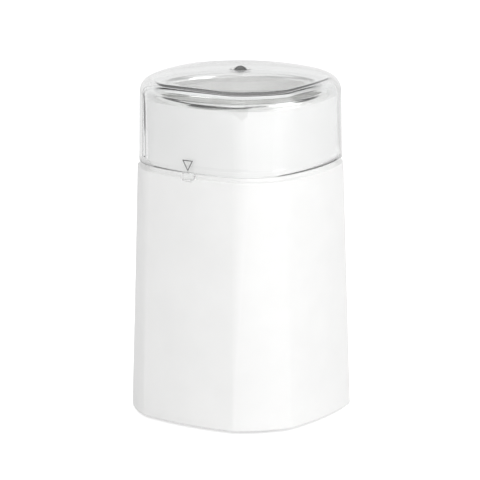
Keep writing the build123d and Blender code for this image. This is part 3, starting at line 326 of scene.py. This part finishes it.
def add_math(tree, operation, *values):
    """Result of a Math node on numbers or sockets."""
    node = tree.nodes.new("ShaderNodeMath")
    node.operation = operation
    for value, socket in zip(values, node.inputs):
        feed(tree, value, socket)
    return node.outputs["Value"]


MIX_NUMBER_SOCKETS = (0, 2, 3)  # a Mix node's factor and its two plain numbers


def add_mix(tree, factor, at_zero, at_one):
    """Number that a factor leads from one number or socket to another."""
    node = tree.nodes.new("ShaderNodeMix")
    for value, place in zip((factor, at_zero, at_one), MIX_NUMBER_SOCKETS):
        feed(tree, value, node.inputs[place])
    return node.outputs[0]


def map_range(tree, value, span, levels):
    """Level that goes from the first to the second while the value crosses its span."""
    node = tree.nodes.new("ShaderNodeMapRange")
    tree.links.new(value, node.inputs["Value"])
    node.inputs["From Min"].default_value = span[0]
    node.inputs["From Max"].default_value = span[1]
    node.inputs["To Min"].default_value = levels[0]
    node.inputs["To Max"].default_value = levels[1]
    return node.outputs["Result"]


def height_in(tree, space):
    """Height of the shaded point in one of Texture Coordinate's spaces."""
    place = tree.nodes.new("ShaderNodeTexCoord")
    axes = tree.nodes.new("ShaderNodeSeparateXYZ")
    tree.links.new(place.outputs[space], axes.inputs["Vector"])
    return axes.outputs["Z"]


def add_noise(tree, scale, detail=3.0, stretch=(1, 1, 1)):
    """Noise in the object's own metres; stretch squeezes it along an axis."""
    place = tree.nodes.new("ShaderNodeTexCoord")
    mapping = tree.nodes.new("ShaderNodeMapping")
    mapping.inputs["Scale"].default_value = stretch
    noise = tree.nodes.new("ShaderNodeTexNoise")
    noise.inputs["Scale"].default_value = scale
    noise.inputs["Detail"].default_value = detail
    tree.links.new(place.outputs["Object"], mapping.inputs["Vector"])
    tree.links.new(mapping.outputs["Vector"], noise.inputs["Vector"])
    return noise.outputs["Fac"]


def add_bands(tree, scale, direction, distortion):
    """Even bands across one axis, for wire turns and stacked sheets."""
    place = tree.nodes.new("ShaderNodeTexCoord")
    wave = tree.nodes.new("ShaderNodeTexWave")
    wave.wave_type = "BANDS"
    wave.bands_direction = direction
    wave.inputs["Scale"].default_value = scale
    wave.inputs["Distortion"].default_value = distortion
    tree.links.new(place.outputs["Object"], wave.inputs["Vector"])
    return wave.outputs["Fac"]


RAMP_ENDS = (0.3, 0.7)  # stretch of a factor over which a colour changes


def colour_from(tree, factor, first, second):
    ramp = tree.nodes.new("ShaderNodeValToRGB")
    for stop, position, colour in zip(ramp.color_ramp.elements, RAMP_ENDS, (first, second)):
        stop.position = position
        stop.color = (*colour, 1)
    tree.links.new(factor, ramp.inputs["Fac"])
    tree.links.new(ramp.outputs["Color"], tree.nodes["Principled BSDF"].inputs["Base Color"])


def roughness_from(tree, factor, low, high):
    roughness = map_range(tree, factor, (0, 1), (low, high))
    tree.links.new(roughness, tree.nodes["Principled BSDF"].inputs["Roughness"])


def bump_from(tree, factor, strength, distance):
    bump = tree.nodes.new("ShaderNodeBump")
    bump.inputs["Strength"].default_value = strength
    bump.inputs["Distance"].default_value = distance
    tree.links.new(factor, bump.inputs["Height"])
    tree.links.new(bump.outputs["Normal"], tree.nodes["Principled BSDF"].inputs["Normal"])


def scaled(colour, share):
    return tuple(channel * share for channel in colour)


# Moulded plastic and rubber

CLOUD_SCALE = 60.0
MOULD_GLOSS_SCALE = 240.0
MOULD_GLOSS_SPREAD = 0.05
GRAIN_DEPTH = 0.05 * MM


def moulded(name, colour, roughness, shade=0.97, grain=2500.0, bump=0.08):
    """Faint cloudiness, uneven gloss and a fine grain."""
    material, tree = start_material(name)
    colour_from(tree, add_noise(tree, CLOUD_SCALE), scaled(colour, shade), colour)
    gloss = add_noise(tree, MOULD_GLOSS_SCALE)
    roughness_from(tree, gloss, roughness - MOULD_GLOSS_SPREAD, roughness + MOULD_GLOSS_SPREAD)
    bump_from(tree, add_noise(tree, grain), bump, GRAIN_DEPTH)
    return material


# Turned and spun metal

TOOL_MARK_SCALE = 220.0
TOOL_MARK_DETAIL = 5.0
TOOL_MARK_SHADE = 0.9
TOOL_MARK_GLOSS = (-0.04, 0.06)
TOOL_MARK_BUMP = 0.1
TOOL_MARK_DEPTH = 0.02 * MM


def spun_metal(name, colour, roughness, stretch):
    """Fine tool marks that run across the stretched axis."""
    material, tree = start_material(name)
    tree.nodes["Principled BSDF"].inputs["Metallic"].default_value = 1.0
    marks = add_noise(tree, TOOL_MARK_SCALE, TOOL_MARK_DETAIL, stretch)
    colour_from(tree, marks, scaled(colour, TOOL_MARK_SHADE), colour)
    roughness_from(tree, marks, roughness + TOOL_MARK_GLOSS[0], roughness + TOOL_MARK_GLOSS[1])
    bump_from(tree, marks, TOOL_MARK_BUMP, TOOL_MARK_DEPTH)
    return material


def polished_rim(material, rim_height, depth, roughness):
    """Lets a metal turn smoother towards its upper rim."""
    tree = material.node_tree
    socket = tree.nodes["Principled BSDF"].inputs["Roughness"]
    marks = socket.links[0].from_socket
    span = (rim_height - depth, rim_height - depth / 2)
    share = map_range(tree, height_in(tree, "Object"), span, (0, 1))
    tree.links.new(add_mix(tree, share, marks, roughness), socket)


# Wire turns and stacked sheets

BAND_WAVER = 0.4
BAND_GLOSS_SCALE = 300.0
BAND_GLOSS = (-0.06, 0.08)
BAND_BUMP = 0.5
BAND_DEPTH = 0.15 * MM


def banded(name, colour, dark_share, scale, direction, metallic, roughness):
    """Dark lines between bright bands: painted shade between wire turns, and the lines between stacked
    sheets.
    """
    material, tree = start_material(name)
    tree.nodes["Principled BSDF"].inputs["Metallic"].default_value = metallic
    bands = add_bands(tree, scale, direction, BAND_WAVER)
    colour_from(tree, bands, scaled(colour, dark_share), colour)
    gloss = add_noise(tree, BAND_GLOSS_SCALE)
    roughness_from(tree, gloss, roughness + BAND_GLOSS[0], roughness + BAND_GLOSS[1])
    bump_from(tree, bands, BAND_BUMP, BAND_DEPTH)
    return material


# Clear plastic

CLEAR_COLOUR = (0.985, 0.99, 0.99)
CLEAR_IOR = 1.49
ABSORPTION = 20.0  # decay of light per metre of the plastic
CLEAR_GLOSS_SCALE = 90.0
CLEAR_ROUGHEST = 0.02
WAVE_SCALE = 45.0  # faint waviness of the surface
WAVE_DETAIL = 1.0
WAVE_BUMP = 0.02
WAVE_DEPTH = 0.3 * MM
BEAD_COLOUR = (0.2, 0.2, 0.21)  # grey that the clear colour turns to at the bead
BEAD_FADE = 1.1  # reach of that grey, in radii of the bead
PATH_END = 6  # bounces after which light still inside the lid is replaced by a painted grey glow
PATH_SLACK = 0.5
PAINTED_GLOW_LOW = 0.95  # painted glow near the lid's lower edge, over the white housing
PAINTED_GLOW_HIGH = 0.3  # the same painted glow in the shoulder and the dome
PAINTED_GLOW_FADE = (31.0 * MM, 38.0 * MM)  # above the lower edge, where one painted glow turns into the other
PAINTED_EDGE_GLOW = 0.8  # painted glow that the lid's underside gives inside the wall, standing in for the housing's light
EDGE_LAYER = 0.05 * MM


def painted_glow_in_wall(tree):
    """Painted glow: grey where a path ends inside the clear wall, standing in for light still caught there,
    and glow in the underside standing in for the housing's light.
    """
    height = height_in(tree, "Object")
    path = tree.nodes.new("ShaderNodeLightPath")
    # Painted glow where a path ends inside the wall
    ended = add_math(tree, "COMPARE", path.outputs["Ray Depth"], PATH_END, PATH_SLACK)
    span = (LID_EDGE + PAINTED_GLOW_FADE[0], LID_EDGE + PAINTED_GLOW_FADE[1])
    level = map_range(tree, height, span, (PAINTED_GLOW_LOW, PAINTED_GLOW_HIGH))
    grey = add_math(tree, "MULTIPLY", ended, level)
    side = tree.nodes.new("ShaderNodeNewGeometry")
    # Painted glow: the underside, seen from inside the wall, glows like the lit housing
    underside = add_math(tree, "COMPARE", height, LID_EDGE, EDGE_LAYER)
    from_inside = add_math(tree, "MULTIPLY", underside, side.outputs["Backfacing"])
    return add_math(tree, "MULTIPLY_ADD", from_inside, PAINTED_EDGE_GLOW, grey)


def nearness_to_bead(tree):
    """One at the middle of the bead, falling to zero round it."""
    place = tree.nodes.new("ShaderNodeTexCoord")
    around = tree.nodes.new("ShaderNodeMapping")
    around.vector_type = "TEXTURE"
    around.inputs["Location"].default_value = (0, 0, LID_CROWN)
    around.inputs["Scale"].default_value = [BEAD * BEAD_FADE] * 3
    ball = tree.nodes.new("ShaderNodeTexGradient")
    ball.gradient_type = "SPHERICAL"
    tree.links.new(place.outputs["Object"], around.inputs["Vector"])
    tree.links.new(around.outputs["Vector"], ball.inputs["Vector"])
    return ball.outputs["Fac"]


def clear_plastic():
    """Thick clear moulding that takes up light with its thickness, faintly wavy, grey at the bead, and with
    a painted glow in its wall and underside.
    """
    material, tree = start_material("clear_plastic")
    shader = tree.nodes["Principled BSDF"]
    shader.inputs["Transmission Weight"].default_value = 1.0
    shader.inputs["IOR"].default_value = CLEAR_IOR
    colour_from(tree, nearness_to_bead(tree), CLEAR_COLOUR, BEAD_COLOUR)
    roughness_from(tree, add_noise(tree, CLEAR_GLOSS_SCALE), 0.0, CLEAR_ROUGHEST)
    bump_from(tree, add_noise(tree, WAVE_SCALE, WAVE_DETAIL), WAVE_BUMP, WAVE_DEPTH)
    # Painted light: the clear plastic glows where paths end in its wall and in its underside
    tree.links.new(painted_glow_in_wall(tree), shader.inputs["Emission Strength"])
    inside = tree.nodes.new("ShaderNodeVolumeAbsorption")
    inside.inputs["Color"].default_value = (0, 0, 0, 1)
    inside.inputs["Density"].default_value = ABSORPTION
    tree.links.new(inside.outputs["Volume"], tree.nodes["Material Output"].inputs["Volume"])
    return material


# Materials of the pieces

RIM_DEPTH = 5.0 * MM  # of the bowl's polished rim
RIM_ROUGHNESS = 0.17
COPPER = (0.75, 0.36, 0.18)
COPPER_PAINTED_SHADE = 0.45  # painted shade between the turns, as a share of it
WIRE_BANDS = 500.0
SHEET_STEEL = (0.34, 0.34, 0.36)
SHEET_DARK = 0.5  # share of it between the sheets
SHEET_BANDS = 350.0
ROUND_MARKS = (1, 1, 8)  # tool marks round the axis
FINE_ROUND_MARKS = (1, 1, 14)
LONG_MARKS = (6, 6, 1)  # drawing marks along the axis

white_plastic = moulded("white_plastic", (0.86, 0.86, 0.855), roughness=0.34)
black_plastic = moulded("black_plastic", (0.03, 0.03, 0.032), roughness=0.5, shade=0.8)
grey_plastic = moulded("grey_plastic", (0.42, 0.43, 0.43), roughness=0.5, shade=0.9)
rubber = moulded("rubber", (0.05, 0.05, 0.05), roughness=0.7, shade=0.75, grain=1200.0, bump=0.2)
carbon = moulded("carbon", (0.03, 0.03, 0.03), roughness=0.6, shade=0.6, grain=1800.0, bump=0.3)
mark_ink = moulded("mark_ink", (0.16, 0.16, 0.16), roughness=0.5, shade=0.8)
clear = clear_plastic()
bowl_steel = spun_metal("bowl_steel", (0.94, 0.94, 0.93), roughness=0.37, stretch=FINE_ROUND_MARKS)
polished_rim(bowl_steel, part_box("grinding_bowl")[1].z, RIM_DEPTH, RIM_ROUGHNESS)
steel = spun_metal("steel", (0.62, 0.62, 0.62), roughness=0.28, stretch=ROUND_MARKS)
spring_steel = spun_metal("spring_steel", (0.4, 0.4, 0.42), roughness=0.3, stretch=LONG_MARKS)
bronze = spun_metal("bronze", (0.66, 0.46, 0.24), roughness=0.32, stretch=ROUND_MARKS)
# Painted shade: copper darker between the turns of the wire
copper = banded("copper", COPPER, COPPER_PAINTED_SHADE, WIRE_BANDS, "Z", metallic=1.0, roughness=0.32)
copper_end = banded("copper_end", COPPER, COPPER_PAINTED_SHADE, WIRE_BANDS, "X", metallic=1.0, roughness=0.32)
laminations = banded("laminations", SHEET_STEEL, SHEET_DARK, SHEET_BANDS, "Z", metallic=0.8, roughness=0.45)

NODE_MATERIALS = {
    "body_shell": white_plastic,
    "push_rod": white_plastic,
    "switch_button": white_plastic,
    "base_plate": white_plastic,
    "microswitch": black_plastic,
    "blade_spacer": black_plastic,
    "cord_gland": black_plastic,
    "motor_carrier": grey_plastic,
    "lower_bracket": grey_plastic,
    "bowl_gasket": rubber,
    "shaft_seal": rubber,
    "rubber_feet": rubber,
    "carbon_brush_right": carbon,
    "carbon_brush_left": carbon,
    "grinding_bowl": bowl_steel,
    "switch_lever": steel,
    "carrier_screws": steel,
    "motor_bolts": steel,
    "motor_shaft": steel,
    "thrust_washers": steel,
    "blade": steel,
    "blade_nut": steel,
    "base_screws": steel,
    "return_spring": spring_steel,
    "brush_spring_right": spring_steel,
    "brush_spring_left": spring_steel,
    "switch_terminals": bronze,
    "upper_bearing": bronze,
    "lower_bearing": bronze,
    "brush_holder_right": bronze,
    "brush_holder_left": bronze,
    "commutator": copper_end,
    "field_coil_right": copper_end,
    "field_coil_left": copper_end,
    "armature_winding": copper,
    "stator_core": laminations,
    "armature_core": laminations,
}


def dress(piece, material):
    piece.data.materials.clear()
    piece.data.materials.append(material)


for node, material in NODE_MATERIALS.items():
    dress(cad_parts[node], material)

lid_clear = build_lid()
dress(lid_clear, clear)
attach(lid_clear, "lid")
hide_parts("lid")

lid_tongue = build_tongue()
dress(lid_tongue, clear)
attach(lid_tongue, "lid")

lid_mark = build_mark()
dress(lid_mark, mark_ink)
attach(lid_mark, "lid")

# Light passes through the clear pieces as if they were not there
for clear_piece in (lid_clear, lid_tongue):
    clear_piece.visible_shadow = False
    clear_piece.visible_diffuse = False


# Floor and studio

FLOOR_HALF = 4.0
FLOOR_COLOUR = (0.8, 0.8, 0.8, 1)
FLOOR_GLOW = 0.65  # share of white that the floor shows the camera by itself
FLOOR_GLOW_CLEAR = 0.3  # the same behind the clear lid and in reflections
WORLD_WHITE = 1.0  # what the camera sees
WORLD_LIGHT = 0.6  # what lights the surfaces
BACKDROP = 0.94  # what metal and clear pieces show of the white backdrop all round
BACKDROP_TOP = 28.0  # degrees above level where it ends
DARK_GAP = 0.02  # unlit room between the backdrop and the overhead light
OVERHEAD = 1.0
OVERHEAD_EDGE = 46.0  # degrees above level where the overhead light begins
ROOM_BLUR = 0.03


def by_ray(tree, to_camera, in_reflections, to_surfaces):
    """Strength that differs for the camera, for metal and clear pieces, and for diffuse light."""
    path = tree.nodes.new("ShaderNodeLightPath")
    shiny = add_math(tree, "MAXIMUM", path.outputs["Is Glossy Ray"], path.outputs["Is Transmission Ray"])
    off_camera = add_mix(tree, shiny, to_surfaces, in_reflections)
    return add_mix(tree, path.outputs["Is Camera Ray"], off_camera, to_camera)


def start_stage_material(name):
    """Material without its first shader, for pieces of the studio."""
    material, tree = start_material(name)
    tree.nodes.remove(tree.nodes["Principled BSDF"])
    return material, tree


def build_floor():
    mesh = bpy.data.meshes.new("floor")
    corners = [(-1, -1), (1, -1), (1, 1), (-1, 1)]
    mesh.from_pydata([(x * FLOOR_HALF, y * FLOOR_HALF, 0) for x, y in corners], [], [(0, 1, 2, 3)])
    floor = new_object("floor", mesh)
    material, tree = start_stage_material("floor")
    matte = tree.nodes.new("ShaderNodeBsdfDiffuse")
    matte.inputs["Color"].default_value = FLOOR_COLOUR
    glow = tree.nodes.new("ShaderNodeEmission")
    tree.links.new(by_ray(tree, FLOOR_GLOW, FLOOR_GLOW_CLEAR, 0.0), glow.inputs["Strength"])
    both = tree.nodes.new("ShaderNodeAddShader")
    tree.links.new(matte.outputs["BSDF"], both.inputs[0])
    tree.links.new(glow.outputs["Emission"], both.inputs[1])
    tree.links.new(both.outputs["Shader"], tree.nodes["Material Output"].inputs["Surface"])
    floor.data.materials.append(material)


def room_seen(tree):
    """White backdrop all round, an unlit gap above it and a soft light overhead, by height."""
    ramp = tree.nodes.new("ShaderNodeValToRGB")
    tree.links.new(height_in(tree, "Generated"), ramp.inputs["Fac"])
    gap_low = sin(radians(BACKDROP_TOP))
    gap_high = sin(radians(OVERHEAD_EDGE))
    stops = ramp.color_ramp.elements
    stops[0].position = gap_low - ROOM_BLUR
    stops[1].position = gap_high + ROOM_BLUR
    stops.new(gap_low + ROOM_BLUR)
    stops.new(gap_high - ROOM_BLUR)
    for stop, level in zip(stops, (BACKDROP, DARK_GAP, DARK_GAP, OVERHEAD)):
        stop.color = (level, level, level, 1)
    return ramp.outputs["Color"]


def build_world():
    world = bpy.data.worlds.new("studio")
    bpy.context.scene.world = world
    world.use_nodes = True
    tree = world.node_tree
    background = tree.nodes["Background"]
    background.inputs["Color"].default_value = (1, 1, 1, 1)
    strength = by_ray(tree, WORLD_WHITE, room_seen(tree), WORLD_LIGHT)
    tree.links.new(strength, background.inputs["Strength"])


def soft_lamp(name, azimuth, elevation, distance, size, power):
    """Square lamp that faces the middle of the object; azimuth in degrees to the right of the front."""
    lamp = bpy.data.lights.new(name, "AREA")
    lamp.shape = "SQUARE"
    lamp.size = size
    lamp.energy = power
    holder = new_object(name, lamp)
    a = radians(azimuth)
    e = radians(elevation)
    back = Vector((sin(a) * cos(e), -cos(a) * cos(e), sin(e)))
    middle = (cad_low + cad_high) / 2
    holder.location = middle + back * distance
    holder.rotation_euler = (-back).to_track_quat("-Z", "Y").to_euler()
    holder.visible_camera = False


def dark_card(name, azimuth, distance, width, height, shade):
    """Upright card that gives the clear lid its dark lines; the camera does not see it."""
    a = radians(azimuth)
    middle = Vector((sin(a), -cos(a), 0)) * distance
    along = Vector((cos(a), sin(a), 0)) * (width / 2)
    lift = Vector((0, 0, height))
    corners = [middle - along, middle + along, middle + along + lift, middle - along + lift]
    mesh = bpy.data.meshes.new(name)
    mesh.from_pydata(corners, [], [(0, 1, 2, 3)])
    card = new_object(name, mesh)
    material, tree = start_stage_material(name)
    glow = tree.nodes.new("ShaderNodeEmission")
    glow.inputs["Color"].default_value = (shade, shade, shade, 1)
    tree.links.new(glow.outputs["Emission"], tree.nodes["Material Output"].inputs["Surface"])
    card.data.materials.append(material)
    card.visible_camera = False
    card.visible_diffuse = False
    card.visible_shadow = False


build_floor()
build_world()
dark_card("left_card", azimuth=VIEW_AZIMUTH - 143.0, distance=0.6, width=0.035, height=0.5, shade=0.0)
dark_card("right_card", azimuth=VIEW_AZIMUTH + 145.0, distance=0.6, width=0.12, height=0.5, shade=0.8)
dark_card("front_card", azimuth=VIEW_AZIMUTH - 31.0, distance=0.8, width=1.3, height=0.8, shade=0.03)
soft_lamp("key_lamp", azimuth=97.0, elevation=28.0, distance=1.4, size=0.9, power=7.6)
soft_lamp("front_lamp", azimuth=18.0, elevation=28.0, distance=1.6, size=1.0, power=9.4)


def build_camera():
    camera = bpy.data.cameras.new("camera")
    camera.sensor_width = SENSOR
    camera.lens = SENSOR * FOCAL_PIXELS / IMAGE_SIDE
    camera.clip_end = CLIP_END
    holder = new_object("camera", camera)
    a = radians(VIEW_AZIMUTH)
    place = Vector((sin(a) * CAMERA_DISTANCE, -cos(a) * CAMERA_DISTANCE, CAMERA_HEIGHT))
    turn = Matrix.Rotation(a + radians(CAMERA_PAN), 4, "Z")
    tilt = Matrix.Rotation(pi / 2 - radians(CAMERA_PITCH), 4, "X")
    roll = Matrix.Rotation(radians(CAMERA_ROLL), 4, "Z")
    holder.matrix_world = Matrix.Translation(place) @ turn @ tilt @ roll
    bpy.context.scene.camera = holder


build_camera()
bpy.context.scene.view_settings.view_transform = "Standard"
